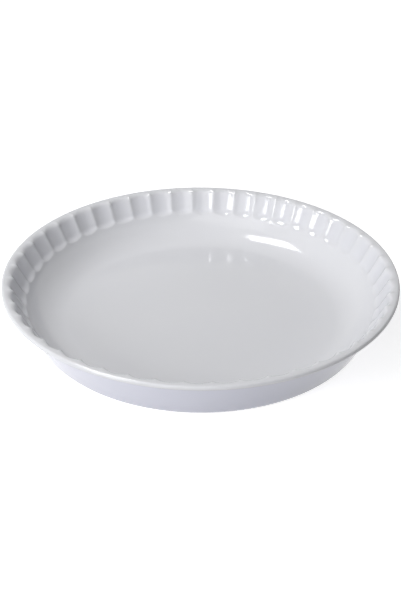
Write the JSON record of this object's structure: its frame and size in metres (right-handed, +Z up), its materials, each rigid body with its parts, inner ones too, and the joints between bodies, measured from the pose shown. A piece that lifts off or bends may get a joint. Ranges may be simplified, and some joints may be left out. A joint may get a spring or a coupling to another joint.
{
  "type": "pie dish",
  "caption": "Round shallow ceramic baking dish with sloping sides, a flat lip and a ring of scoops pressed round the inner wall.",
  "frame": {"origin": "centre of the dish in the plane that it stands on", "axes": "+Z up along the dish's axis; -Y is the side nearest to the viewer of the picture, +X to the viewer's right"},
  "size_m": [0.28, 0.28, 0.039],
  "materials": {
    "fired_clay": "matt, fine-grained, bare only on the foot ring",
    "glaze_inside": "glossy white glaze",
    "glaze_outside": "glossy white glaze with a faint lavender cast"
  },
  "bodies": {
    "root": {"ceramic_body": "fired_clay", "glaze_inside": "glaze_inside", "glaze_outside": "glaze_outside", "glaze_underside": "glaze_outside"}
  },
  "joints": []
}
